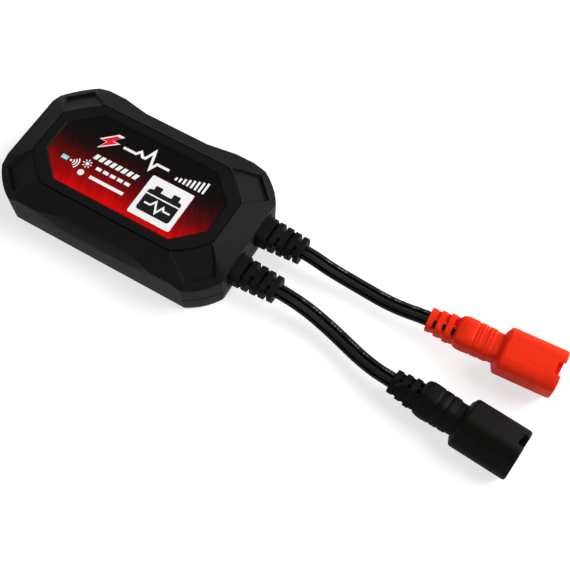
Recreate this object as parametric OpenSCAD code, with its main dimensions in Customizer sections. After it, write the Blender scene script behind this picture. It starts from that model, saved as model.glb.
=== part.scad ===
// Wireless car battery tester: an eight-sided case with a face label, two ribbed
// strain reliefs and two short flat twin leads that end in keyed shrouded connectors.
// Millimetres. +X points to the leads, +Z up. The origin is under the middle of the case.

/* [Case] */
// Length of the case along X
case_length = 100; // [94:1:120]
// Width of the case along Y
case_width = 60; // [58:1:72]
// Height of the case
case_height = 22.8; // [22:0.2:28]
// Height of the parting plane between the covers
parting_height = 8.7; // [7.8:0.1:9.5]
// Wall thickness of both covers
wall = 2.2; // [1.8:0.1:2.6]
// Thickness of the floor of the lower cover
floor_thickness = 2; // [1.6:0.1:2.6]
// Thickness of the roof under the label
roof_thickness = 2.2; // [1.6:0.1:3]
// Sloping flank at each end, along X
flank_run_x = 10; // [8:0.5:12]
// Sloping flank at each side, along Y
flank_run_y = 9.6; // [8:0.2:11]
// Drop of the flanks from the rim to the widest edge
edge_drop = 4.8; // [4:0.1:5.6]
// Corner cut of the plan along X
corner_cut_x = 11.2; // [10:0.2:13]
// Corner cut of the plan along Y
corner_cut_y = 11; // [10:0.2:13]
// Outward bow of each corner cut
corner_bow = 1.1; // [0:0.1:2]
// Distance from the end to where a corner facet starts on the long edge
hip_run_x = 16.4; // [15:0.2:18]
// Distance from the side to where a corner facet starts on the short edge
hip_run_y = 15.4; // [14:0.2:16]
// Fall of the corner facets per millimetre outward
facet_slope = 0.56; // [0.5:0.01:0.62]
// Inward draft of the side walls at the parting plane
side_draft = 0.4; // [0:0.1:1]
// Inset of the underside
foot_inset = 2; // [1:0.1:2.4]
// Height of the rounded bottom edge
foot_height = 2.2; // [1.4:0.1:3]
// Width and depth of the shadow gap at the parting plane
parting_gap = 0.4; // [0.2:0.1:0.6]

/* [Rim and label] */
// Width of the rim beside the label at the ends
rim_x = 4; // [3:0.1:5]
// Width of the rim beside the label at the sides
rim_y = 3.7; // [3:0.1:5]
// Corner cut of the rim along X
rim_cut_x = 11.8; // [10:0.2:13]
// Corner cut of the rim along Y
rim_cut_y = 11.2; // [10:0.2:13]
// Outward bow of the rim's corner cuts
rim_bow = 1; // [0:0.1:1.6]
// Width of the groove around the rim
groove_width = 0.5; // [0.3:0.1:0.8]
// Depth of the groove around the rim
groove_depth = 0.8; // [0.4:0.1:1.2]
// Depth of the label's recess
label_recess = 0.6; // [0.4:0.05:1]
// Bevel of the recess's lip
label_bevel = 0.4; // [0.2:0.05:0.5]
// Thickness of the label
label_thickness = 0.25; // [0.15:0.05:0.35]
// Clearance around the label
label_clearance = 0.15; // [0.05:0.05:0.3]
// Distance of the light window from the label's end
window_inset_x = 8.3; // [6:0.1:12]
// Distance of the light window from the label's middle line
window_offset_y = 6.5; // [4:0.1:8]
// Length of the light window
window_length = 2.8; // [2:0.1:4]
// Width of the light window
window_width = 1.8; // [1.4:0.1:3]

/* [Scoops] */
// Depth of the corner scoops
scoop_depth = 1.3; // [0.8:0.1:1.5]
// Slope run of the corner scoops' walls
scoop_wall_run = 1.1; // [0.6:0.1:1.4]
// Width of the land outside a corner scoop
scoop_land = 2.6; // [2.2:0.1:3.4]
// Half length of the flat part of a side scoop
side_scoop_half = 14; // [8:0.5:16]
// Run of the three-cornered ends of a side scoop
side_scoop_end = 12; // [8:0.5:14]
// Reach of a side scoop into the flank
side_scoop_reach = 2.6; // [1.6:0.1:3.2]
// Drop of a side scoop below the widest edge
side_scoop_drop = 4.1; // [3:0.1:5]

/* [Seal and screws] */
// Width of the seal
seal_width = 0.8; // [0.6:0.1:0.9]
// Height of the seal
seal_height = 0.9; // [0.6:0.1:1.2]
// Distance of the case screws from the ends
screw_inset_x = 14; // [13:0.5:16]
// Distance of the case screws from the sides
screw_inset_y = 10; // [9:0.5:11]
// Diameter of the case screws
screw_diameter = 3; // [2.5:0.1:3.4]
// Diameter of the case screws' heads
screw_head_diameter = 5.2; // [4.6:0.1:5.6]
// Height of the case screws' heads
screw_head_height = 1.6; // [1.2:0.1:2]
// Depth of a screw head below the underside
screw_head_depth = 1.2; // [0.8:0.1:2]
// Length of the case screws under the head
screw_length = 12; // [10:0.5:13]
// Wall of the screw bosses
boss_wall = 1.5; // [1.2:0.1:1.7]
// Clearance of screws, board and covers in their seats
seat_clearance = 0.1; // [0.05:0.05:0.2]

/* [Board] */
// Thickness of the circuit board
board_thickness = 1.6; // [1.2:0.2:2]
// Height of the board's underside above the floor
standoff_height = 4; // [3:0.2:4.4]
// Gap between the board and the ends of the case
board_gap_x = 7; // [6:0.5:10]
// Gap between the board and the sides of the case
board_gap_y = 6; // [5:0.5:8]
// Corner cut of the board along X
board_cut_x = 18.5; // [18:0.5:22]
// Corner cut of the board along Y
board_cut_y = 14.5; // [14:0.5:17]
// Distance of the board screws from the board's ends
board_screw_inset_x = 18; // [17:0.5:20]
// Distance of the board screws from the board's long edges
board_screw_inset_y = 5; // [4:0.5:6]
// Diameter of the board screws
board_screw_diameter = 2; // [1.6:0.1:2.4]
// Diameter of the board screws' heads
board_screw_head = 3.8; // [3.4:0.1:4.2]

/* [Electronics] */
// Size of the radio module's shield
radio_size = [17, 12, 2.4];
// Length of the radio module's board beyond its shield
radio_rim = 2; // [1:0.5:2]
// Thickness of the radio module's own board
radio_board = 0.8; // [0.6:0.1:1]
// Size of the processor chip
chip_size = [9, 9, 1.4];
// Length of the chip's legs
chip_leg = 1; // [0.6:0.1:1.2]
// Size of the crystal can
crystal_size = [6.5, 3, 2.2];
// Size of each load resistor
resistor_size = [18, 7, 7];
// Size of each load transistor's body
transistor_size = [8.6, 9.8, 4.2];
// Diameter of the capacitors
capacitor_diameter = 6.3; // [5:0.1:7]
// Height of the capacitors
capacitor_height = 7.7; // [6:0.1:8.5]
// Side of the inductor
inductor_side = 7; // [6:0.5:8]
// Height of the inductor
inductor_height = 3.6; // [3:0.2:4.4]
// Size of each input fuse
fuse_size = [4.6, 3, 1.8];
// Size of the status light
light_size = [3.2, 2.2, 1.2];
// Gap between neighbouring parts on the board
part_gap = 2.4; // [2:0.1:3]
// Distance of the wire terminals from the ends of the leads
terminal_inset = 7; // [6:0.5:8]
// Diameter of the wire terminals
terminal_diameter = 1.6; // [1.2:0.1:2]
// Height of the wire terminals
terminal_height = 2.6; // [2:0.1:3]

/* [Strain reliefs] */
// Distance of each relief from the case's middle line
relief_offset = 9.4; // [8.5:0.1:10]
// Height of the reliefs' axis
relief_axis_height = 11; // [10.6:0.1:11.4]
// Length of the relief's collar outside the case
collar_length = 3.4; // [3:0.1:5]
// Width of the collar
collar_width = 11.8; // [10.6:0.1:12]
// Height of the collar
collar_height = 7.8; // [6.8:0.1:8]
// Number of ribs after the collar
rib_count = 4; // [2:1:5]
// Distance from rib to rib
rib_pitch = 3.5; // [3.4:0.05:4]
// Length of one rib
rib_length = 2.1; // [1.8:0.1:2.4]
// Width of the last rib
rib_end_width = 10; // [9:0.1:10.6]
// Height of the last rib
rib_end_height = 6.8; // [5.4:0.1:7]
// Width of the webs that join the ribs above and below
web_width = 2.6; // [1.8:0.1:3]
// Thickness of the webs that join the ribs at their sides
side_web = 1.4; // [1:0.1:1.6]
// Depth of the side webs below the ribs
side_web_depth = 0.6; // [0.2:0.1:0.6]
// Thickness of the relief's flange inside the case
flange_length = 2; // [1.5:0.1:2.5]
// Overhang of the flange inside the case
flange_lip = 1.4; // [1:0.1:1.6]

/* [Leads] */
// Width of the flat twin lead
lead_width = 6.8; // [6:0.1:7.4]
// Thickness of the flat twin lead
lead_thickness = 3.4; // [3:0.1:3.6]
// Diameter of one insulated wire inside the case
wire_diameter = 1.8; // [1.4:0.1:2]

/* [Connectors] */
// Length of the ribbed boot
boot_length = 10.7; // [10:0.1:12]
// Length of the grip behind the shroud
grip_length = 16.8; // [15:0.1:20]
// Length of the shroud
shroud_length = 22.5; // [20:0.5:26]
// Width of the shroud
shroud_width = 16.6; // [15:0.1:18]
// Height of the shroud
shroud_height = 18.2; // [17:0.1:19]
// Corner radius of the shroud's flat top
shroud_corner = 4.2; // [3:0.1:5]
// Rake of the shroud's rear face, its underside reaching further back
shroud_rake = 1.4; // [0:0.1:2]
// Rounding of the shroud's end edges
shroud_edge = 0.9; // [0.4:0.1:1]
// Wall of the shroud
shroud_wall = 1.6; // [1.4:0.1:2]
// Depth of the mouth inside the shroud
mouth_depth = 18; // [15:0.5:19]
// Width of the key notch in the mouth
notch_width = 5.6; // [4.6:0.1:6]
// Depth of the key notch
notch_depth = 2.6; // [2:0.1:3.4]
// Corner radius of the key notch
notch_corner = 1; // [0.4:0.1:1.2]
// Width of the grip
grip_width = 11.6; // [10.6:0.1:12]
// Height of the grip
grip_height = 13.4; // [12:0.1:14]
// Width of the boot's first rib
boot_width = 8.6; // [8.4:0.1:9.6]
// Length of each of the boot's ribs
boot_rib = 2.1; // [1.8:0.1:2.4]
// Width of the boot's spine, which runs between its windows
boot_web = 1.2; // [0.8:0.1:1.4]
// Width of the boot's side rails
boot_rail = 1.6; // [1.2:0.1:2]
// Height of the boot's first rib
boot_height = 7.6; // [6.6:0.1:8.4]
// Width of the contact carrier
carrier_width = 7; // [6.4:0.1:8]
// Height of the contact carrier
carrier_height = 9.6; // [9:0.1:11]
// Distance from the mouth to the carrier's face
carrier_setback = 5.4; // [4.8:0.1:8]
// Diameter of the contact sockets
contact_diameter = 2.6; // [2.2:0.1:3]
// Bore of the contact sockets
contact_bore = 1.6; // [1.2:0.1:1.8]
// Distance between the two contacts
contact_spacing = 4.6; // [4:0.1:5]
// Length of the contacts
contact_length = 11; // [8:0.5:12]

/* [Hidden] */

$fn = 32;
over = 0.5;            // extra length of cutting tools
corner_steps = 8;      // straight pieces in each bowed corner
round_steps = 5;       // straight pieces in each rounded corner of a section
cut_share = 2 - sqrt(2);  // share of an inset that a 45 degree corner cut loses

half_length = case_length / 2;
half_width = case_width / 2;
edge_height = case_height - edge_drop;
rim_half_x = half_length - flank_run_x;
rim_half_y = half_width - flank_run_y;
label_half_x = rim_half_x - rim_x;
label_half_y = rim_half_y - rim_y;
label_cut_x = rim_cut_x - cut_share * rim_x + 1;
label_cut_y = rim_cut_y - cut_share * rim_y + 1;
label_floor = case_height - label_recess;
roof_height = label_floor - roof_thickness;
window_x = -label_half_x + window_inset_x;

hip_length = norm([hip_run_x, hip_run_y]);
facet_x = hip_run_y / hip_length;   // outward direction of a corner facet in plan
facet_y = hip_run_x / hip_length;
rim_hip_y = half_width - hip_run_y - (edge_drop / facet_slope - flank_run_x * facet_x) / facet_y;
rim_hip_x = half_length - hip_run_x - (edge_drop / facet_slope - flank_run_y * facet_y) / facet_x;

screw_x = half_length - screw_inset_x;
screw_y = half_width - screw_inset_y;
boss_radius = screw_diameter / 2 + boss_wall;
head_seat = screw_head_depth + screw_head_height;

board_bottom = floor_thickness + standoff_height;
board_top = board_bottom + board_thickness;
board_half_x = half_length - board_gap_x;
board_half_y = half_width - board_gap_y;
board_screw_x = board_half_x - board_screw_inset_x;
board_screw_y = board_half_y - board_screw_inset_y;

collar_face = half_length + collar_length;
relief_end = collar_face + rib_count * rib_pitch;
opening_width = collar_width + 4 * seat_clearance;
opening_gap = 0.8;     // shadow gap above the collar
flange_face = half_length - wall - side_draft - 2 * seat_clearance;
wire_start = flange_face - flange_length;
terminal_x = wire_start - terminal_inset;
transistor_x = terminal_x - transistor_size.x - part_gap;
transistor_y = transistor_size.y / 2 + part_gap;
resistor_x = transistor_x - transistor_size.x / 2 - resistor_size.x / 2 - part_gap;
radio_x = -(board_half_x - radio_size.x - part_gap);
radio_y = radio_size.y / 2 + radio_board;
inductor_x = radio_x + radio_size.x / 2 + radio_rim + part_gap + inductor_side / 2;
chip_x = -chip_size.x / 2;
chip_y = chip_size.y / 2 + radio_board;
inductor_y = chip_y + chip_size.y / 2 + chip_leg + part_gap + inductor_side / 2;

grip_end = boot_length + grip_length;
connector_length = grip_end + shroud_length;
shroud_radius = shroud_width / 2;
axis_rise = shroud_height / 2 - shroud_radius;  // axis above the centre of the round underside

lead_roll = -22;       // roll of both leads on the way, far core down
yaw_positive = 3.6;    // heading of each connector
yaw_negative = -4.2;
roll_positive = 6;     // roll of each connector on its round underside
roll_negative = -23;
axis_positive = shroud_radius + axis_rise * cos(roll_positive);  // height of each connector's axis
axis_negative = shroud_radius + axis_rise * cos(roll_negative);

// Middle lines of the two leads from their reliefs to their connectors
route_positive = [[relief_end, relief_offset, relief_axis_height], [69, 9.4, 10.95], [71, 9.35, 10.75],
    [73, 9.3, 10.4], [75, 9.25, 9.95], [77, 9.2, 9.45], [80, 9.2, 8.7], [84, 9.3, 7.8], [88, 9.4, 7.15],
    [92, 9.35, 6.75], [96, 9.2, 6.6], [100, 9, 6.6], [104, 8.85, 6.85], [108, 8.8, 7.35],
    [112, 8.9, 8.05], [115, 9.07, 8.6], [117.5, 9.24, 8.96], [119, 9.337, axis_positive - 0.02],
    [120, 9.4, axis_positive]];
route_negative = [[relief_end, -relief_offset, relief_axis_height], [69, -9.4, 10.95],
    [71, -9.4, 10.75], [73, -9.4, 10.4], [75, -9.4, 9.95], [77, -9.45, 9.45], [80, -9.6, 8.7],
    [84, -10.1, 7.95], [88, -10.8, 7.25], [92, -11.7, 6.85], [96, -12.8, 6.65], [100, -14, 6.65],
    [104, -15.25, 6.85], [108, -16.4, 7.35], [112, -17.4, 8], [115, -17.97, 8.55],
    [117.5, -18.29, 8.9], [119, -18.427, axis_negative - 0.02], [120, -18.5, axis_negative]];

function last(list) = list[len(list) - 1];
function reversed(list) = [for (i = [len(list) - 1:-1:0]) list[i]];
function unit(v) = v / norm(v);

// One corner cut of an eight-sided outline, from the +X side to the +Y side: straight where bow is 0
function corner(hx, hy, cut_x, cut_y, bow) = let (steps = bow == 0 ? 1 : corner_steps)
    [for (i = [0:steps]) let (t = i / steps)
        [hx - t * cut_x, hy - (1 - t) * cut_y] + 4 * bow * t * (1 - t) * unit([cut_y, cut_x])];

// Eight-sided outline with bowed corner cuts, counter-clockwise
function octagon(hx, hy, cut_x, cut_y, bow) = let (c = corner(hx, hy, cut_x, cut_y, bow))
    concat(c, [for (p = reversed(c)) [-p.x, p.y]], [for (p = c) [-p.x, -p.y]],
        [for (p = reversed(c)) [p.x, -p.y]]);

// Plan outline of the case, moved inward
function plan(inset) = octagon(half_length - inset, half_width - inset,
    corner_cut_x - cut_share * inset, corner_cut_y - cut_share * inset, corner_bow);
function rim(outset) = octagon(rim_half_x + outset, rim_half_y + outset,
    rim_cut_x + cut_share * outset, rim_cut_y + cut_share * outset, rim_bow);

// Height of the corner facets above a point of the plan
function facet_height(p) = edge_height
    - facet_slope * ((abs(p.x) - half_length) * facet_x + (abs(p.y) - half_width + hip_run_y) * facet_y);

// Corner in the +X +Y quarter where flanks and corner facets stand at height z: half sizes and cuts
function slope_ring(z) = let (
    hx = half_length + (edge_height - z) * flank_run_x / edge_drop,
    hy = half_width + (edge_height - z) * flank_run_y / edge_drop,
    reach = (edge_height - z) / facet_slope,
    y = half_width - hip_run_y + (reach - facet_x * (hx - half_length)) / facet_y,
    x = half_length + (reach - facet_y * (hy - half_width + hip_run_y)) / facet_x)
    [for (q = [[hx, y], [x, hy], [-x, hy], [-hx, y], [-hx, -y], [-x, -hy], [x, -hy], [hx, -y]])
        [q.x, q.y, z]];

// Eight-sided straight outline of half sizes and cuts, every side moved outward by w
function grown(hx, hy, cx, cy, w) = let (l = norm([cx, cy]))
    octagon(hx + w, hy + w, cx + w * (1 - (l - cx) / cy), cy + w * (1 - (l - cy) / cx), 0);

function at_height(outline, z) = [for (p = outline) [p.x, p.y, z]];

// Rounded rectangle section, centred, counter-clockwise
function rounded(w, h, r) = [for (q = [0:3]) let (sx = [1, -1, -1, 1][q], sy = [1, 1, -1, -1][q])
    for (i = [0:round_steps]) let (a = 90 * (q + i / round_steps))
    [sx * (w / 2 - r) + r * cos(a), sy * (h / 2 - r) + r * sin(a)]];

// Arch section: flat top with small corners, round underside, centred on its height
function arch(w, h, r) = let (c = w / 2, steps = 3 * round_steps) concat(
    [for (i = [0:round_steps]) let (a = 90 * i / round_steps)
        [c - r + r * cos(a), h / 2 - r + r * sin(a)]],
    [for (i = [0:round_steps]) let (a = 90 + 90 * i / round_steps)
        [-c + r + r * cos(a), h / 2 - r + r * sin(a)]],
    [for (i = [0:steps]) let (a = 180 + 180 * i / steps)
        [c * cos(a), c - h / 2 + c * sin(a)]]);

// Outline of the flat twin lead: two round cores with a waist between them
function twin(w, t) = let (r = t / 2, c = w / 2 - r) [
    [c, -r], [c + 0.87 * r, -0.5 * r], [c + r, 0], [c + 0.87 * r, 0.5 * r], [c, r], [0, 0.72 * r],
    [-c, r], [-c - 0.87 * r, 0.5 * r], [-c - r, 0], [-c - 0.87 * r, -0.5 * r], [-c, -r], [0, -0.72 * r]];

// Closed solid through a list of rings that all have the same number of points
module skin(rings) {
    n = len(rings[0]);
    polyhedron(
        points = [for (ring = rings) each ring],
        faces = concat([[for (i = [0:n - 1]) i]],
            [for (k = [0:len(rings) - 2]) for (i = [0:n - 1]) let (j = (i + 1) % n)
                [k * n + i, (k + 1) * n + i, (k + 1) * n + j, k * n + j]],
            [[for (i = [n - 1:-1:0]) (len(rings) - 1) * n + i]]));
}

// Rings of a rolled section swept along a route, square to X at its start and to the end heading at
// its end
function sweep(route, section, end_yaw, roll) = [for (k = [0:len(route) - 1]) let (
    ahead = k == 0 ? [1, 0, 0] : k == len(route) - 1 ? [cos(end_yaw), sin(end_yaw), 0]
        : unit(route[k + 1] - route[k - 1]),
    side = unit([-ahead.y, ahead.x, 0]), up = cross(ahead, side))
    [for (p = section) route[k] + side * (p.x * cos(roll) - p.y * sin(roll))
        + up * (p.x * sin(roll) + p.y * cos(roll))]];

// Prism of an outline in the XY plane
module prism(outline, z, height) {
    translate([0, 0, z]) linear_extrude(height) polygon(outline);
}

// Prism of a section whose points are [Y, Z], from one X to another
module bar(section, x0, x1) {
    translate([x0, 0, 0]) rotate([90, 0, 90]) linear_extrude(x1 - x0) polygon(section);
}

module four_ways() {
    for (sx = [-1, 1], sy = [-1, 1]) scale([sx, sy, 1]) children();
}

// ---- Case ----

// Flanks and corner facets from the parting plane to the rim, lowered by drop
module slopes(drop) {
    translate([0, 0, -drop]) skin([slope_ring(parting_height - 2), slope_ring(case_height)]);
}

// Outer form of the upper cover before its scoops and recess
module cover_form() {
    taper = 1 - side_draft / half_length;
    intersection() {
        translate([0, 0, parting_height])
            linear_extrude(case_height - parting_height, scale = 1 / taper)
                scale([taper, taper]) polygon(plan(0));
        slopes(0);
    }
}

// Tool for the scoop in the +X +Y corner, up to the rim
module corner_scoop() {
    a = [rim_half_x, rim_half_y - rim_cut_y];
    b = [rim_half_x - rim_cut_x, rim_half_y];
    c = corner(half_length, half_width, corner_cut_x, corner_cut_y, 0);
    inward = scoop_land * unit([corner_cut_y, corner_cut_x]);
    along = (c[1] - c[0]) / 8;
    p = c[0] + along - inward;
    q = c[1] - along - inward;
    deep = [[a.x - 6, a.y], [a.x + 0.6, a.y + 1.6], p - [0.9, -0.1] * scoop_wall_run,
        p - [0.8, -0.4] * scoop_wall_run, q - [-0.4, 0.8] * scoop_wall_run,
        q - [-0.1, 0.9] * scoop_wall_run, [b.x + 1.6, b.y + 0.6], [b.x, b.y - 6]];
    wide = [[a.x - 6, a.y - 1.4], [a.x + 1, a.y - 0.4], p + [0.8, -0.9] * scoop_wall_run,
        p + [0.9, 0.4] * scoop_wall_run, q + [0.4, 0.9] * scoop_wall_run,
        q + [-0.9, 0.8] * scoop_wall_run, [b.x - 0.4, b.y + 1], [b.x - 1.4, b.y - 6]];
    skin([
        [for (v = deep) [v.x, v.y, facet_height(v) - scoop_depth]],
        [for (v = wide) [v.x, v.y, facet_height(v) + scoop_depth]]]);
}

// Tool for the scoop across the widest edge on the +Y side
module side_scoop() {
    far = half_width + 6;
    top = edge_height + side_scoop_reach * edge_drop / flank_run_y;
    hull() for (s = [-1, 1]) polyhedron(
        points = [[0, half_width - side_scoop_reach, top], [0, half_width, edge_height - side_scoop_drop],
            [s * side_scoop_half, half_width - side_scoop_reach, top],
            [s * (side_scoop_half + 2), half_width, edge_height - side_scoop_drop],
            [s * (side_scoop_half + side_scoop_end), half_width, edge_height],
            [s * (side_scoop_half + side_scoop_end), far, edge_height],
            [s * (side_scoop_half + 2), far, edge_height - side_scoop_drop],
            [0, far, edge_height - side_scoop_drop]],
        faces = [[0, 1, 2], [2, 1, 3], [2, 3, 4], [4, 3, 5], [5, 3, 6], [6, 3, 7], [7, 3, 1],
            [0, 2, 7], [7, 1, 0], [2, 4, 5], [2, 5, 7], [7, 5, 6]]);
}

// Openings in the end wall for the two collars
module relief_openings() {
    bottom = relief_axis_height - collar_height / 2 - seat_clearance;
    for (s = [-1, 1])
        translate([half_length - wall - 2, s * relief_offset - opening_width / 2, bottom])
            cube([wall + 4, opening_width, collar_height + seat_clearance + opening_gap]);
}

module upper_cover() {
    color([0.1, 0.1, 0.1]) difference() {
        union() {
            difference() {
                cover_form();
                // hollow inside, with its screw bosses left standing
                difference() {
                    intersection() {
                        prism(plan(wall + side_draft), parting_height - over, case_height);
                        slopes(label_recess + roof_thickness);
                    }
                    four_ways() translate([screw_x, screw_y, parting_height])
                        cylinder(r = boss_radius, h = case_height);
                }
                four_ways() difference() {
                    corner_scoop();
                    prism(rim(groove_width), 0, case_height + over);
                }
                for (s = [-1, 1]) scale([1, s, 1]) side_scoop();
                // groove around the rim
                difference() {
                    prism(rim(groove_width), case_height - groove_depth, groove_depth + over);
                    prism(rim(0), 0, case_height + 2 * over);
                }
                // recess for the label, with a bevelled lip
                skin([
                    at_height(grown(label_half_x, label_half_y, label_cut_x, label_cut_y, 0),
                        label_floor),
                    at_height(grown(label_half_x, label_half_y, label_cut_x, label_cut_y, 0),
                        case_height - label_bevel),
                    at_height(grown(label_half_x, label_half_y, label_cut_x, label_cut_y,
                        label_bevel + over), case_height + over)]);
                relief_openings();
            }
        }
        four_ways() translate([screw_x, screw_y, parting_height - over])
            cylinder(d = screw_diameter - 0.4, h = head_seat + screw_length - parting_height + 2 * over);
        translate([window_x, -window_offset_y, roof_height - over])
            cube_centred([window_length + 2 * seat_clearance, window_width + 2 * seat_clearance,
                roof_thickness + 2 * over]);
    }
}

// Block centred in X and Y that stands on the XY plane
module cube_centred(size) {
    translate([-size.x / 2, -size.y / 2, 0]) cube(size);
}

module lower_cover() {
    top = parting_height - parting_gap;
    color([0.09, 0.09, 0.09]) difference() {
        union() {
            difference() {
                union() {
                    skin([
                        at_height(plan(foot_inset), 0),
                        at_height(plan(side_draft + 0.45 * (foot_inset - side_draft)), 0.25 * foot_height),
                        at_height(plan(side_draft + 0.2), foot_height),
                        at_height(plan(side_draft), top)]);
                    prism(plan(side_draft + parting_gap), top - over, parting_gap + over);
                }
                prism(plan(wall + side_draft), floor_thickness, parting_height);
            }
            // posts for the case screws and standoffs for the board
            four_ways() translate([screw_x, screw_y, 0.5])
                cylinder(r = boss_radius, h = parting_height - 0.5);
            four_ways() translate([board_screw_x, board_screw_y, 0.5])
                cylinder(d = board_screw_head + 1, h = board_bottom - 0.5);
        }
        // channel for the seal
        difference() {
            prism(plan(side_draft + parting_gap + 0.3), parting_height - seal_height, seal_height + over);
            prism(plan(side_draft + parting_gap + 0.3 + seal_width), 0, case_height);
        }
        four_ways() translate([screw_x, screw_y, -over]) {
            cylinder(d = screw_head_diameter + 4 * seat_clearance, h = over + head_seat);
            cylinder(d = screw_diameter + 4 * seat_clearance, h = case_height);
        }
        four_ways() translate([board_screw_x, board_screw_y, floor_thickness])
            cylinder(d = board_screw_diameter - 0.3, h = case_height);
        relief_openings();
    }
}

module face_label() {
    color([0.55, 0.02, 0.02]) difference() {
        prism(grown(label_half_x, label_half_y, label_cut_x, label_cut_y, -label_clearance),
            label_floor, label_thickness);
        translate([window_x, -window_offset_y, 0])
            cube_centred([window_length + 2 * seat_clearance, window_width + 2 * seat_clearance,
                case_height + over]);
    }
}

// Clear light pipe: its end shows in the label, its foot stands over the status light
module light_window() {
    foot = board_top + light_size.z + 2 * seat_clearance;
    color([0.6, 0.9, 1, 0.8]) union() {
        translate([window_x, -window_offset_y, foot])
            cube_centred([window_length, window_width, label_floor + label_thickness - foot]);
        translate([window_x, -window_offset_y, roof_height - 1])
            cube_centred([window_length + 2.4, window_width + 2.4, 1]);
    }
}

module seal_ring() {
    inset = side_draft + parting_gap + 0.3;
    color([0.2, 0.2, 0.22]) difference() {
        prism(plan(inset), parting_height - seal_height, seal_height);
        prism(plan(inset + seal_width), 0, case_height);
        relief_openings();
    }
}

module case_screws() {
    color("silver") four_ways() translate([screw_x, screw_y, screw_head_depth]) {
        difference() {
            cylinder(d = screw_head_diameter, h = screw_head_height);
            // cross slot
            for (a = [0, 90]) rotate([0, 0, a])
                translate([-1.5, -0.35, -over]) cube([3, 0.7, over + 0.9]);
        }
        cylinder(d = screw_diameter - 0.4, h = screw_head_height + screw_length);
    }
}

// ---- Electronics ----

module circuit_board() {
    color([0.05, 0.3, 0.15]) difference() {
        prism(octagon(board_half_x, board_half_y, board_cut_x, board_cut_y, 0), board_bottom,
            board_thickness);
        four_ways() translate([board_screw_x, board_screw_y, 0])
            cylinder(d = board_screw_diameter + 4 * seat_clearance, h = case_height);
    }
}

module board_screws() {
    color("silver") four_ways() translate([board_screw_x, board_screw_y, 0]) {
        translate([0, 0, board_top]) difference() {
            cylinder(d = board_screw_head, h = 1.3);
            for (a = [0, 90]) rotate([0, 0, a]) translate([-1.1, -0.25, 0.6]) cube([2.2, 0.5, 1]);
        }
        translate([0, 0, floor_thickness + 0.5])
            cylinder(d = board_screw_diameter - 0.3, h = board_top - floor_thickness);
    }
}

module radio_module() {
    translate([radio_x, radio_y, board_top]) {
        // the board stands out past the shield on the side of its aerial
        color([0.05, 0.25, 0.35]) translate([-1.5, 0, 0])
            cube_centred([radio_size.x + 2 * radio_rim, radio_size.y + 1, radio_board]);
        color("silver") translate([0, 0, radio_board]) cube_centred(radio_size);
    }
}

module processor_chip() {
    legs = 8;
    pitch = chip_size.y / (legs + 2);
    color([0.12, 0.12, 0.12]) translate([chip_x, chip_y, board_top]) {
        translate([0, 0, 0.1]) cube_centred(chip_size);
        for (a = [0:90:270]) rotate([0, 0, a]) for (i = [0:legs - 1])
            translate([chip_size.x / 2 - 0.2, (i - (legs - 1) / 2) * pitch - 0.2, 0])
                cube([chip_leg, 0.4, 0.5]);
    }
}

module crystal() {
    color("silver") translate([chip_x, -2 * crystal_size.y, board_top]) union() {
        cube_centred([crystal_size.x - crystal_size.y, crystal_size.y, crystal_size.z]);
        for (s = [-1, 1]) translate([s * (crystal_size.x - crystal_size.y) / 2, 0, 0])
            cylinder(d = crystal_size.y, h = crystal_size.z);
    }
}

module status_light() {
    color([0.9, 0.95, 1]) translate([window_x, -window_offset_y, board_top]) cube_centred(light_size);
}

module load_resistors() {
    color([0.85, 0.84, 0.8]) for (s = [-1, 1])
        translate([resistor_x, s * board_half_y / 2, board_top]) cube_centred(resistor_size);
}

module load_transistors() {
    for (s = [-1, 1]) translate([transistor_x, s * transistor_y, board_top]) {
        color([0.1, 0.1, 0.1]) cube_centred(transistor_size);
        color("silver") translate([-transistor_size.x / 2 - 0.7, 0, 0])
            cube_centred([1.6, transistor_size.y, 1.3]);
        color("silver") for (leg = [-1, 0, 1])
            translate([transistor_size.x / 2 + 0.7, leg * transistor_size.y / 4, 0])
                cube_centred([1.6, 0.9, 0.8]);
    }
}

module capacitors() {
    color([0.75, 0.76, 0.78]) for (i = [0:1])
        translate([chip_x - i * (capacitor_diameter + part_gap), 1.5 * capacitor_diameter - board_half_y,
            board_top]) cylinder(d = capacitor_diameter, h = capacitor_height);
}

module inductor() {
    color([0.25, 0.25, 0.27]) 
        translate([inductor_x, inductor_y, board_top])
        prism(rounded(inductor_side, inductor_side, 1.5), 0, inductor_height);
}

module input_fuses() {
    color([0.9, 0.9, 0.86]) for (s = [-1, 1])
        translate([resistor_x, s * (fuse_size.y / 2 + part_gap), board_top]) cube_centred(fuse_size);
}

module wire_terminals() {
    color([0.85, 0.7, 0.35]) for (s = [-1, 1], w = [-1, 1])
        translate([terminal_x, s * relief_offset + w * lead_width / 4, board_top]) {
            cylinder(d = terminal_diameter + 0.8, h = 0.6);
            cylinder(d = terminal_diameter, h = terminal_height);
        }
}

// ---- Strain reliefs and leads ----

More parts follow.
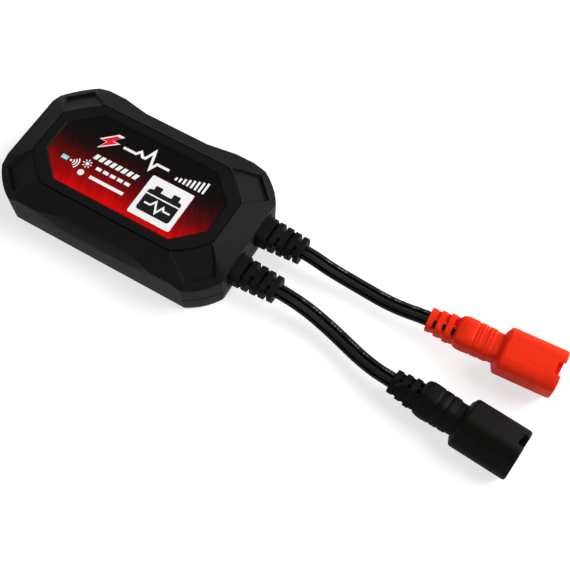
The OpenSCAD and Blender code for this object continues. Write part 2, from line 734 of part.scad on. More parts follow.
// Relief with its axis on X: flange, collar and ribs with staggered slots
module relief_body() {
    difference() {
        union() {
            bar(rounded(collar_width + 2 * flange_lip, collar_height + 1, 2), wire_start, flange_face);
            bar(rounded(collar_width, collar_height, 2.2), flange_face - 0.1, collar_face);
            for (i = [1:rib_count]) let (t = i / rib_count,
                w = collar_width + (rib_end_width - collar_width) * t,
                h = collar_height + (rib_end_height - collar_height) * t) {
                bar(rounded(w, h, 2), collar_face + i * rib_pitch - rib_length, collar_face + i * rib_pitch);
                gap = [collar_face + (i - 1) * rib_pitch - 0.1,
                    collar_face + i * rib_pitch - rib_length + 0.1];
                // even gaps are bridged above and below, odd gaps at the two sides
                if (i % 2 == 0)
                    bar([for (p = rounded(web_width, h, 0.3)) p], gap[0], gap[1]);
                else for (s = [-1, 1])
                    bar([for (p = rounded(side_web, h - 2.6, 0.4))
                        [p.x + s * (w / 2 - side_web_depth - side_web / 2), p.y]], gap[0], gap[1]);
            }
        }
        bar(twin(lead_width, lead_thickness), wire_start - over, relief_end + over);
    }
}

module strain_relief_positive() {
    color([0.11, 0.11, 0.11]) translate([0, relief_offset, relief_axis_height]) relief_body();
}

module strain_relief_negative() {
    color([0.11, 0.11, 0.11]) translate([0, -relief_offset, relief_axis_height]) relief_body();
}

// The lead inside its relief and its two wires down to their terminals
module inner_wires() {
    bar(twin(lead_width, lead_thickness), wire_start, relief_end);
    top = board_top + terminal_height - relief_axis_height + wire_diameter / 2;
    for (w = [-1, 1]) {
        route = [[wire_start, w * lead_width / 4, 0], [wire_start - 1.5, w * lead_width / 4, 0],
            [wire_start - 3.5, w * lead_width / 4, 0.4 * top], [terminal_x + 1, w * lead_width / 4, top],
            [terminal_x - 1, w * lead_width / 4, top]];
        skin(sweep(reversed(route), [for (a = [22.5:45:337.5]) wire_diameter / 2 * [cos(a), sin(a)]],
            0, 0));
    }
}

module inner_wires_positive() {
    color([0.6, 0.05, 0.05]) translate([0, relief_offset, relief_axis_height]) inner_wires();
}

module inner_wires_negative() {
    color([0.13, 0.13, 0.13]) translate([0, -relief_offset, relief_axis_height]) inner_wires();
}

module lead_positive() {
    color([0.12, 0.12, 0.12])
        skin(sweep(route_positive, twin(lead_width, lead_thickness),
            yaw_positive, lead_roll));
}

module lead_negative() {
    color([0.12, 0.12, 0.12])
        skin(sweep(route_negative, twin(lead_width, lead_thickness),
            yaw_negative, lead_roll));
}

// ---- Connectors: along their own X axis, from the boot to the mouth ----

module place_connector(start, yaw, roll) {
    translate(start) rotate([0, 0, yaw]) rotate([roll, 0, 0]) children();
}

// Outline of the grip and neck as [station, width, height, corner]
grip_stations = [[boot_length, grip_width - 2.6, grip_height - 3, 2],
    [boot_length + 0.8, grip_width - 0.9, grip_height - 1.2, 2.4],
    [boot_length + 2.4, grip_width - 0.1, grip_height - 0.2, 2.8],
    [boot_length + 4, grip_width, grip_height, 3],
    [boot_length + 6.6, grip_width - 0.2, grip_height - 0.3, 3],
    [boot_length + 7.2, grip_width - 0.8, grip_height - 0.9, 2.8],
    [boot_length + 7.8, grip_width - 0.2, grip_height - 0.4, 3],
    [boot_length + 10, grip_width - 0.3, grip_height - 0.5, 3],
    [boot_length + 10.6, grip_width - 0.9, grip_height - 1.1, 2.8],
    [boot_length + 11.2, grip_width - 0.3, grip_height - 0.6, 3],
    [boot_length + 13.2, grip_width - 0.4, grip_height - 0.7, 3],
    [boot_length + 14, grip_width - 1.2, grip_height - 1.5, 2.8],
    [grip_end + 0.4, grip_width - 1.1, grip_height - 1.5, 2.8]];

// Outer form of the shroud as [station, inset, rake]
shroud_stations = [[grip_end, 2.6, shroud_rake], [grip_end + 0.7, 1.3, shroud_rake],
    [grip_end + 1.2, 0.4, shroud_rake], [grip_end + 1.9, 0, shroud_rake],
    [connector_length - shroud_edge, 0, 0],
    [connector_length - 0.3 * shroud_edge, 0.3 * shroud_edge, 0], [connector_length, shroud_edge, 0]];

module connector_body() {
    difference() {
        union() {
            // sleeve, ribs, spine and side rails of the boot
            bar(rounded(lead_width + 0.8, lead_thickness + 1.6, 1.6), 0, boot_length + 0.1);
            for (i = [0:2]) let (t = i / 2) {
                start = i * boot_length / 3;
                bar(rounded(boot_width + 1.4 * t, boot_height + 1.4 * t, 2.6), start, start + boot_rib);
                bar(rounded(boot_web, boot_height - 1 + 1.4 * t, 0.3),
                    start + boot_rib - 0.1, start + boot_length / 3 + 0.1);
                for (s = [-1, 1])
                    bar([for (p = rounded(boot_rail, boot_height - 2.6 + 1.4 * t, 0.6))
                        [p.x + s * (boot_width / 2 + 0.7 * t - 0.4 - boot_rail / 2), p.y]],
                        start + boot_rib - 0.1, start + boot_length / 3 + 0.1);
            }
            skin([for (s = grip_stations) [for (p = arch(s[1], s[2], s[3])) [s[0], p.x, p.y]]]);
            skin([for (s = shroud_stations)
                [for (p = arch(shroud_width - 2 * s[1], shroud_height - 2 * s[1], shroud_corner - s[1]))
                    [s[0] - s[2] * (0.5 - p.y / shroud_height), p.x, p.y]]]);
        }
        // mouth of the shroud
        bar(arch(shroud_width - 2 * shroud_wall, shroud_height - 2 * shroud_wall,
            shroud_corner - shroud_wall),
            connector_length - mouth_depth, connector_length + over);
        // key notch in the flat top
        translate([connector_length, 0, 0]) prism(rounded(2 * notch_depth, notch_width, notch_corner),
            shroud_height / 2 - shroud_wall - 1, shroud_wall + 2);
    }
}

module contact_carrier() {
    start = connector_length - mouth_depth;
    difference() {
        bar(rounded(carrier_width, carrier_height, 1.4), start, connector_length - carrier_setback);
        for (s = [-1, 1]) translate([start + 1, 0, s * contact_spacing / 2]) rotate([0, 90, 0])
            cylinder(d = contact_diameter, h = mouth_depth);
    }
}

module contact_sockets() {
    for (s = [-1, 1]) translate([connector_length - mouth_depth + 1, 0, s * contact_spacing / 2])
        rotate([0, 90, 0]) difference() {
            cylinder(d = contact_diameter - 0.04, h = contact_length);
            translate([0, 0, 3]) cylinder(d = contact_bore, h = contact_length);
        }
}

module connector_positive() {
    color([0.95, 0.24, 0.1]) place_connector(last(route_positive), yaw_positive, roll_positive)
        connector_body();
}

module connector_negative() {
    color([0.1, 0.1, 0.09]) place_connector(last(route_negative), yaw_negative, roll_negative)
        connector_body();
}

module contact_carrier_positive() {
    color([0.8, 0.2, 0.1]) place_connector(last(route_positive), yaw_positive, roll_positive)
        contact_carrier();
}

module contact_carrier_negative() {
    color([0.08, 0.08, 0.08]) place_connector(last(route_negative), yaw_negative, roll_negative)
        contact_carrier();
}

module contact_sockets_positive() {
    color("gold") place_connector(last(route_positive), yaw_positive, roll_positive) contact_sockets();
}

module contact_sockets_negative() {
    color("gold") place_connector(last(route_negative), yaw_negative, roll_negative) contact_sockets();
}

upper_cover();
lower_cover();
face_label();
light_window();
seal_ring();
case_screws();
circuit_board();
board_screws();
radio_module();
processor_chip();
crystal();
status_light();
load_resistors();
load_transistors();
capacitors();
inductor();
input_fuses();
wire_terminals();
strain_relief_positive();
strain_relief_negative();
inner_wires_positive();
inner_wires_negative();
lead_positive();
lead_negative();
connector_positive();
connector_negative();
contact_carrier_positive();
contact_carrier_negative();
contact_sockets_positive();
contact_sockets_negative();
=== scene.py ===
"""Wireless car battery tester: an eight-sided case, a printed face label and two short twin leads."""

from __future__ import annotations

import logging
import math
from dataclasses import dataclass
from enum import Enum
from typing import Callable, Sequence

import bmesh
import bpy
from mathutils import Matrix, Vector


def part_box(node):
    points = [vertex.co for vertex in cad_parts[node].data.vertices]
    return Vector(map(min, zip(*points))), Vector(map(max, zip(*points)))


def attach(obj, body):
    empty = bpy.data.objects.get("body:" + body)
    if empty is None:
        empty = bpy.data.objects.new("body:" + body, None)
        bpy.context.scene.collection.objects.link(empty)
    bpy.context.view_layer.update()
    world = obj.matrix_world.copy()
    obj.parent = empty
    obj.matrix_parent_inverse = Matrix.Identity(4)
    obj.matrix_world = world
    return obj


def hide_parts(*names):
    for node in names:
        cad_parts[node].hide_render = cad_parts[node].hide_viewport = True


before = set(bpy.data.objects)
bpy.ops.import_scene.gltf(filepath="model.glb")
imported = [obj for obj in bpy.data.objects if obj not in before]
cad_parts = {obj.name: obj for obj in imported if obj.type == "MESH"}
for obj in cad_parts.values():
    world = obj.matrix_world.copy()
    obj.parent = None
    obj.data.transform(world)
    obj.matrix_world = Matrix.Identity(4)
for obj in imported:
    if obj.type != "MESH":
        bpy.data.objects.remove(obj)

log = logging.getLogger("battery_tester")

MM = 0.001
BODY = "root"
WELD = 0.002 * MM
FLAT = math.radians(1.0)
Color = tuple[float, float, float]
Point = tuple[float, float, float]
Flat = tuple[float, float]
Ring = list[Vector]


class Side(Enum):
    """The two leads of the tester."""

    POSITIVE = "positive"
    NEGATIVE = "negative"


class Surface(Enum):
    """The finishes along a lead, by material slot; the groove's finish is near-black painted shade."""

    PLAIN = 0
    PRINTED = 1
    # painted shade: the faces of the groove and the channel take a near-black matt material
    SHADED_GROOVE = 2


# ---------------------------------------------------------------- node helpers


class Nodes:
    """A node tree, with short calls for the nodes that the finishes and the world use."""

    def __init__(self, tree: bpy.types.NodeTree) -> None:
        """Take a node tree and empty it."""
        self.tree = tree
        self.tree.nodes.clear()

    def add(self, kind: str, **settings: object) -> bpy.types.Node:
        """Add a node.

        Args:
            kind: The node's type name.
            **settings: Values for the node's own settings.

        Returns:
            The new node.
        """
        node = self.tree.nodes.new(kind)
        for key, value in settings.items():
            setattr(node, key, value)
        return node

    def link(self, a: bpy.types.Node, out: str, b: bpy.types.Node, to: str | int) -> None:
        """Join output `out` of node a to input `to` of node b."""
        self.tree.links.new(a.outputs[out], b.inputs[to])

    def place(self) -> bpy.types.Node:
        """Return a node that gives the place on the part, in metres."""
        return self.add("ShaderNodeTexCoord")

    def axes(self, kind: str = "Object") -> bpy.types.Node:
        """Split the place on the part into X, Y and Z.

        Args:
            kind: Output of the place node that is split.

        Returns:
            The node, whose outputs are X, Y and Z.
        """
        node = self.add("ShaderNodeSeparateXYZ")
        self.link(self.place(), kind, node, "Vector")
        return node

    def noise(self, size: float, detail: float = 2.0, rough: float = 0.5,
              stretch: Sequence[float] = (1.0, 1.0, 1.0), turn: float = 0.0) -> bpy.types.Node:
        """Add noise with spots of a real size.

        Args:
            size: Size of the spots, in metres.
            detail: Number of finer layers.
            rough: Strength of the finer layers.
            stretch: How much longer the spots are along X, Y and Z.
            turn: Turn of the pattern about Z, in degrees.

        Returns:
            The noise node, whose output is Fac.
        """
        mapping = self.add("ShaderNodeMapping", vector_type="TEXTURE")
        mapping.inputs["Rotation"].default_value = (0.0, 0.0, math.radians(turn))
        mapping.inputs["Scale"].default_value = tuple(stretch)
        self.link(self.place(), "Object", mapping, "Vector")
        node = self.add("ShaderNodeTexNoise")
        node.inputs["Scale"].default_value = 1.0 / size
        node.inputs["Detail"].default_value = detail
        node.inputs["Roughness"].default_value = rough
        self.link(mapping, "Vector", node, "Vector")
        return node

    def ramp(self, source: bpy.types.Node, out: str,
             stops: Sequence[tuple[float, Color]]) -> bpy.types.Node:
        """Colour a value with a ramp.

        Args:
            source: The node that gives the value.
            out: Name of its output.
            stops: Pairs of a place from 0 to 1 and a colour.

        Returns:
            The ramp node, whose output is Color.
        """
        node = self.add("ShaderNodeValToRGB")
        ramp = node.color_ramp
        while len(ramp.elements) < len(stops):
            ramp.elements.new(0.5)
        for element, (at, color) in zip(ramp.elements, stops):
            element.position = at
            element.color = (*color, 1.0)
        self.link(source, out, node, "Fac")
        return node

    def span(self, source: bpy.types.Node, out: str, given: Flat, wanted: Flat) -> bpy.types.Node:
        """Stretch a value from one range onto another, and hold it at the ends.

        Args:
            source: The node that gives the value.
            out: Name of its output.
            given: The range that the value comes in.
            wanted: The range that it is stretched onto.

        Returns:
            The range node, whose output is Result.
        """
        node = self.add("ShaderNodeMapRange")
        for name, value in zip(("From Min", "From Max", "To Min", "To Max"), (*given, *wanted)):
            node.inputs[name].default_value = value
        self.link(source, out, node, "Value")
        return node

    def math(self, how: str, *values: object) -> bpy.types.Node:
        """Add a math node.

        Args:
            how: The operation.
            *values: Numbers, or pairs of a node and its output's name.

        Returns:
            The math node, whose output is Value.
        """
        node = self.add("ShaderNodeMath", operation=how)
        for index, value in enumerate(values):
            if isinstance(value, tuple):
                self.link(value[0], value[1], node, index)
            else:
                node.inputs[index].default_value = float(value)
        return node

    def mix(self, factor: object, a: object, b: object, how: str = "MIX") -> bpy.types.Node:
        """Mix two colours.

        Args:
            factor: A number, or a pair of a node and its output's name.
            a: A colour, or a pair of a node and its output's name.
            b: As a.
            how: The blending mode.

        Returns:
            The mix node, whose output is Color.
        """
        node = self.add("ShaderNodeMixRGB", blend_type=how)
        for name, value in (("Fac", factor), ("Color1", a), ("Color2", b)):
            if isinstance(value, tuple) and isinstance(value[0], bpy.types.Node):
                self.link(value[0], value[1], node, name)
            elif name == "Fac":
                node.inputs[name].default_value = float(value)
            else:
                node.inputs[name].default_value = (*value, 1.0)
        return node

    def seen(self) -> bpy.types.Node:
        """Tell the rays that see a surface from the rays that light the part.

        Returns:
            A node whose Value is 1 where a surface is seen, mirrored or seen through glass.
        """
        path = self.add("ShaderNodeLightPath")
        direct = self.math("MAXIMUM", (path, "Is Camera Ray"), (path, "Is Glossy Ray"))
        return self.math("MAXIMUM", (direct, "Value"), (path, "Is Transmission Ray"))


class Shader(Nodes):
    """A material with one principled shader, and the relief that it has so far."""

    def __init__(self, name: str) -> None:
        """Make a material that holds only its output and a principled shader.

        Args:
            name: Name of the material.
        """
        self.material = bpy.data.materials.new(name)
        self.material.use_nodes = True
        super().__init__(self.material.node_tree)
        self.body = self.add("ShaderNodeBsdfPrincipled")
        self.relief: bpy.types.Node | None = None
        self.link(self.body, "BSDF", self.add("ShaderNodeOutputMaterial"), "Surface")

    def value(self, socket: str, number: float) -> None:
        """Set one of the shader's own numbers."""
        self.body.inputs[socket].default_value = number

    def paint(self, node: bpy.types.Node) -> None:
        """Give the shader a node's colour."""
        self.link(node, "Color", self.body, "Base Color")

    def roughen(self, noise: bpy.types.Node, low: float, high: float) -> None:
        """Let the roughness run from low to high with a noise."""
        self.link(self.span(noise, "Fac", (0.0, 1.0), (low, high)), "Result", self.body, "Roughness")

    def surface(self, node: bpy.types.Node) -> None:
        """Give the shader a node's normal, which the next relief starts from."""
        self.relief = node
        self.link(node, "Normal", self.body, "Normal")

    def rounding(self, radius: float) -> None:
        """Soften the look of sharp edges.

        Args:
            radius: Radius of the edges, in metres.
        """
        node = self.add("ShaderNodeBevel", samples=6)
        node.inputs["Radius"].default_value = radius
        self.surface(node)

    def bump(self, height: bpy.types.Node, out: str, depth: float) -> None:
        """Raise the surface by a height, on top of the relief that it has.

        Args:
            height: The node that gives the height, from 0 to 1.
            out: Name of its output.
            depth: Depth of the relief, in metres.
        """
        node = self.add("ShaderNodeBump")
        node.inputs["Strength"].default_value = 1.0
        node.inputs["Distance"].default_value = depth
        self.link(height, out, node, "Height")
        if self.relief is not None:
            self.link(self.relief, "Normal", node, "Normal")
        self.surface(node)


# ---------------------------------------------------------------- finishes


@dataclass(frozen=True)
class Finish:
    """A finish of the part, which each kind of finish paints in its own way."""

    name: str

    def shader(self) -> Shader:
        """Return the shader of this finish."""
        return Shader(self.name)

    def material(self) -> bpy.types.Material:
        """Return the node material of this finish."""
        return self.shader().material


@dataclass(frozen=True)
class MouldedPlastic(Finish):
    """Moulded plastic with a spark-eroded grain, faint flow marks and worn edges."""

    color: Color
    roughness: float = 0.5
    specular: float = 0.5
    grain: float = 0.35 * MM
    depth: float = 0.012 * MM
    edge: float = 0.2 * MM
    shade: float = 0.18
    flow: float = 11.0 * MM
    wear: float = 4.0 * MM

    def shader(self) -> Shader:
        """Paint flow marks, specks, wear and the grain.

        Returns:
            The shader of this finish.
        """
        s = super().shader()
        dark = tuple(c * (1.0 - self.shade) for c in self.color)
        light = tuple(min(1.0, c * (1.0 + self.shade)) for c in self.color)
        tone = s.ramp(s.noise(self.flow, 3.0, 0.55), "Fac", ((0.3, dark), (0.7, light)))
        specks = s.ramp(s.noise(self.grain * 1.6, 1.0, 0.6), "Fac",
                        ((0.35, (0.86, 0.86, 0.86)), (0.65, (1.0, 1.0, 1.0))))
        s.paint(s.mix(1.0, (tone, "Color"), (specks, "Color"), "MULTIPLY"))
        s.roughen(s.noise(self.wear, 4.0, 0.6), self.roughness - 0.06, self.roughness + 0.08)
        s.value("Specular IOR Level", self.specular)
        s.rounding(self.edge)
        s.bump(s.noise(self.grain, 2.0, 0.6), "Fac", self.depth)
        return s


@dataclass(frozen=True)
class RibbedPlastic(MouldedPlastic):
    """Moulded plastic with fine ridges across a stretch of its length."""

    start: Point = (0.0, 0.0, 0.0)
    heading: float = 0.0
    stretch: Flat = (0.0, 0.0)
    pitch: float = 1.36 * MM
    ridge: float = 0.05 * MM

    def shader(self) -> Shader:
        """Add the ridges to the moulded plastic.

        Returns:
            The shader of this finish.
        """
        s = super().shader()
        yaw = math.radians(self.heading)
        along = s.add("ShaderNodeVectorMath", operation="DOT_PRODUCT")
        along.inputs[1].default_value = (math.cos(yaw), math.sin(yaw), 0.0)
        s.link(s.place(), "Object", along, 0)
        zero = self.start[0] * math.cos(yaw) + self.start[1] * math.sin(yaw) + self.stretch[0]
        way = s.math("SUBTRACT", (along, "Value"), zero)
        turns = s.math("MULTIPLY", (way, "Value"), math.tau / self.pitch)
        wave = s.math("COSINE", (turns, "Value"))
        begun = s.math("GREATER_THAN", (way, "Value"), 0.0)
        over = s.math("LESS_THAN", (way, "Value"), self.stretch[1] - self.stretch[0])
        inside = s.math("MULTIPLY", (begun, "Value"), (over, "Value"))
        s.bump(s.math("MULTIPLY", (wave, "Value"), (inside, "Value")), "Value", self.ridge)
        return s


@dataclass(frozen=True)
class LabelFilm(Finish):
    """Printed film: black that falls to red towards the near side, with fine rays."""

    half_y: float
    tones: tuple[Flat, ...] = (
        (0.0, 0.003), (0.16, 0.004), (0.34, 0.007), (0.46, 0.018), (0.57, 0.055), (0.68, 0.12),
        (0.80, 0.27), (0.90, 0.40), (1.0, 0.62))
    least: Flat = (0.003, 0.0032)
    ray_width: float = 0.85 * MM
    ray_length: float = 16.0
    ray_lean: float = 20.0
    ray_swing: float = 0.34
    cloud_size: float = 11.0 * MM
    cloud_swing: float = 0.22

    def shader(self) -> Shader:
        """Paint the fall from black to red, broken up by rays and wide clouds.

        Returns:
            The shader of this finish.
        """
        s = super().shader()
        fall = s.span(s.axes(), "Y", (self.half_y, -self.half_y), (0.0, 1.0))
        rays = s.noise(self.ray_width, 3.0, 0.7, (1.0, self.ray_length, 1.0), self.ray_lean)
        cloud = s.noise(self.cloud_size, 2.0, 0.5)
        swing = s.math("MULTIPLY_ADD", (rays, "Fac"), self.ray_swing, -self.ray_swing / 2)
        drift = s.math("MULTIPLY_ADD", (cloud, "Fac"), self.cloud_swing, -self.cloud_swing / 2)
        bent = s.math("ADD", (fall, "Result"), (swing, "Value"))
        total = s.math("ADD", (bent, "Value"), (drift, "Value"))
        s.paint(s.ramp(total, "Value", [(at, (red, *(min(red, c) for c in self.least)))
                                        for at, red in self.tones]))
        s.value("Roughness", 0.35)
        s.value("Specular IOR Level", 0.03)
        s.bump(s.noise(0.8 * MM, 2.0, 0.5), "Fac", 0.003 * MM)
        return s


@dataclass(frozen=True)
class Ink(Finish):
    """Flat printing ink with a faint screen texture."""

    color: Color
    roughness: float = 0.5
    worn: float = 0.93

    def shader(self) -> Shader:
        """Paint the ink, slightly worn in spots.

        Returns:
            The shader of this finish.
        """
        s = super().shader()
        worn = tuple(c * self.worn for c in self.color)
        s.paint(s.ramp(s.noise(0.6 * MM, 2.0, 0.6), "Fac", ((0.35, worn), (0.6, self.color))))
        s.value("Roughness", self.roughness)
        s.value("Specular IOR Level", 0.1)
        s.bump(s.noise(0.3 * MM, 1.0, 0.5), "Fac", 0.002 * MM)
        return s


@dataclass(frozen=True)
class LightPipe(Finish):
    """Clear plastic window, tinted by the light under it."""

    color: Color = (0.16, 0.58, 0.68)

    def shader(self) -> Shader:
        """Paint an uneven glow under a glossy skin.

        Returns:
            The shader of this finish.
        """
        s = super().shader()
        pale = tuple(min(1.0, c * 1.15 + 0.1) for c in self.color)
        s.paint(s.ramp(s.noise(1.2 * MM, 2.0, 0.5), "Fac", ((0.35, self.color), (0.65, pale))))
        s.value("Roughness", 0.15)
        s.value("Coat Weight", 0.2)
        return s


@dataclass(frozen=True)
class Jacket(Finish):
    """Flexible lead jacket: satin, with fine lengthwise drawing marks and maybe a row of print."""

    color: Color = (0.0022, 0.0022, 0.0023)
    printed: bool = False
    print_color: Color = (0.10, 0.10, 0.10)
    bars_per_metre: float = 700.0
    bar_share: float = 0.62
    word_length: float = 4.5 * MM
    mark_length: float = 24.0

    def marks(self, s: Shader) -> bpy.types.Node:
        """Group short printed bars into words.

        Args:
            s: The shader that takes the nodes.

        Returns:
            A node whose Value is 1 on the bars and 0 between them.
        """
        steps = s.math("MULTIPLY", (s.axes(), "X"), self.bars_per_metre)
        bars = s.math("LESS_THAN", (s.math("FRACT", (steps, "Value")), "Value"), self.bar_share)
        along = s.noise(self.word_length, 0.0, 0.5, (1.0, 50.0, 50.0))
        words = s.math("GREATER_THAN", (along, "Fac"), 0.5)
        return s.math("MULTIPLY", (bars, "Value"), (words, "Value"))

    def shader(self) -> Shader:
        """Paint the drawing marks, and the print where there is any.

        Returns:
            The shader of this finish.
        """
        s = super().shader()
        pulled = s.noise(0.5 * MM, 3.0, 0.6, (self.mark_length, 1.0, 1.0))
        light = tuple(c * 1.5 for c in self.color)
        tone = s.ramp(pulled, "Fac", ((0.35, self.color), (0.7, light)))
        if self.printed:
            tone = s.mix((self.marks(s), "Value"), (tone, "Color"), self.print_color)
        s.paint(tone)
        s.roughen(pulled, 0.26, 0.42)
        s.value("Specular IOR Level", 0.1)
        s.bump(pulled, "Fac", 0.01 * MM)
        return s


@dataclass(frozen=True)
class Metal(Finish):
    """Turned or drawn metal with fine marks."""

    color: Color
    roughness: float = 0.3
    mark_width: float = 0.4 * MM

    def shader(self) -> Shader:
        """Paint bright metal with duller marks across it.

        Returns:
            The shader of this finish.
        """
        s = super().shader()
        marks = s.noise(self.mark_width, 3.0, 0.6, (1.0, 6.0, 1.0))
        dull = tuple(c * 0.8 for c in self.color)
        s.paint(s.ramp(marks, "Fac", ((0.3, dull), (0.7, self.color))))
        s.value("Metallic", 1.0)
        s.roughen(marks, self.roughness - 0.05, self.roughness + 0.15)
        s.bump(marks, "Fac", 0.004 * MM)
        return s


@dataclass(frozen=True)
class SolderResist(Finish):
    """Lacquered circuit board with a faint glass weave and tracks."""

    color: Color = (0.01, 0.10, 0.04)
    tracks_per_metre: float = 260.0

    def shader(self) -> Shader:
        """Paint the tracks under the lacquer and the weave in it.

        Returns:
            The shader of this finish.
        """
        s = super().shader()
        tracks = s.add("ShaderNodeTexBrick")
        tracks.inputs["Scale"].default_value = self.tracks_per_metre
        for name, gain in (("Color1", 1.0), ("Color2", 1.25), ("Mortar", 1.8)):
            tracks.inputs[name].default_value = (*(c * gain for c in self.color), 1.0)
        s.link(s.place(), "Object", tracks, "Vector")
        s.paint(tracks)
        s.value("Roughness", 0.3)
        s.value("Coat Weight", 0.3)
        s.bump(s.noise(0.5 * MM, 2.0, 0.5), "Fac", 0.004 * MM)
        return s


# ---------------------------------------------------------------- mesh helpers


def loft(bm: bmesh.types.BMesh, rings: Sequence[Ring]) -> None:
    """Skin a list of rings and cap both ends.

    Args:
        bm: The mesh that takes the faces.
        rings: Rings with the same number of points.
    """
    rows = [[bm.verts.new(p) for p in ring] for ring in rings]
    count = len(rows[0])
    for a, b in zip(rows, rows[1:]):
        for i in range(count):
            j = (i + 1) % count
            bm.faces.new((a[i], a[j], b[j], b[i]))
    bm.faces.new(tuple(reversed(rows[0])))
    bm.faces.new(tuple(rows[-1]))


def to_object(name: str, bm: bmesh.types.BMesh,
              material: bpy.types.Material, smooth: float = 50.0) -> bpy.types.Object:
    """Turn a mesh under construction into a piece of the part.

    Args:
        name: Name of the piece.
        bm: The finished mesh, which is freed.
        material: The piece's material.
        smooth: Edges sharper than this many degrees stay sharp.

    Returns:
        The piece, which rides on the part's one body.
    """
    bmesh.ops.recalc_face_normals(bm, faces=bm.faces)
    limit = math.radians(smooth)
    for edge in bm.edges:
        edge.smooth = len(edge.link_faces) == 2 and edge.calc_face_angle(0.0) < limit
    for face in bm.faces:
        face.smooth = True
    mesh = bpy.data.meshes.new(name)
    bm.to_mesh(mesh)
    bm.free()
    piece = bpy.data.objects.new(name, mesh)
    bpy.context.scene.collection.objects.link(piece)
    mesh.materials.append(material)
    weigh = piece.modifiers.new("weighted", "WEIGHTED_NORMAL")
    weigh.keep_sharp = True
    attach(piece, BODY)
    return piece


def dress(node: str, material: bpy.types.Material) -> bpy.types.Object:
    """Give a CAD node a material.

    Args:
        node: Name of the node.
        material: The new material.

    Returns:
        The node's object.
    """
    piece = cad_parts[node]
    if not piece.data.materials:
        piece.data.materials.append(material)
    for slot in piece.material_slots:
        slot.link = "OBJECT"
        slot.material = material
    return piece


def softened(node: str, material: bpy.types.Material, radius: float,
             limit: float = 28.0, segments: int = 2) -> bpy.types.Object:
    """Copy a CAD node into a piece with rounded edges that stands for it.

    Args:
        node: Name of the CAD node.
        material: The piece's material.
        radius: Radius of the edges, in metres.
        limit: Edges sharper than this many degrees are rounded.
        segments: Steps of each rounding.

    Returns:
        The new piece.
    """
    bm = bmesh.new()
    bm.from_mesh(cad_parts[node].data)
    bmesh.ops.remove_doubles(bm, verts=bm.verts, dist=WELD)
    bmesh.ops.dissolve_limit(bm, angle_limit=FLAT, verts=bm.verts, edges=bm.edges)
    edges = [e for e in bm.edges
             if len(e.link_faces) == 2 and e.calc_face_angle(0.0) > math.radians(limit)]
    bmesh.ops.bevel(bm, geom=edges, offset=radius, offset_type="OFFSET", segments=segments,
                    profile=0.5, affect="EDGES", clamp_overlap=True)
    piece = to_object(f"{node}_skin", bm, material)
    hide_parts(node)
    return piece


# ---------------------------------------------------------------- studio


@dataclass(frozen=True)
class Softbox:
    """A soft rectangular lamp."""

    name: str
    at: Point
    size: Flat
    watts: float
    aim: Point = (0.05, 0.0, 0.01)

    def build(self) -> None:
        """Hang the lamp so that it faces its aim."""
        data = bpy.data.lights.new(self.name, "AREA")
        data.shape = "RECTANGLE"
        data.size, data.size_y = self.size
        data.energy = self.watts
        lamp = bpy.data.objects.new(self.name, data)
        bpy.context.scene.collection.objects.link(lamp)
        lamp.location = self.at
        lamp.rotation_mode = "QUATERNION"
        lamp.rotation_quaternion = (Vector(self.aim) - Vector(self.at)).to_track_quat("-Z", "Y")


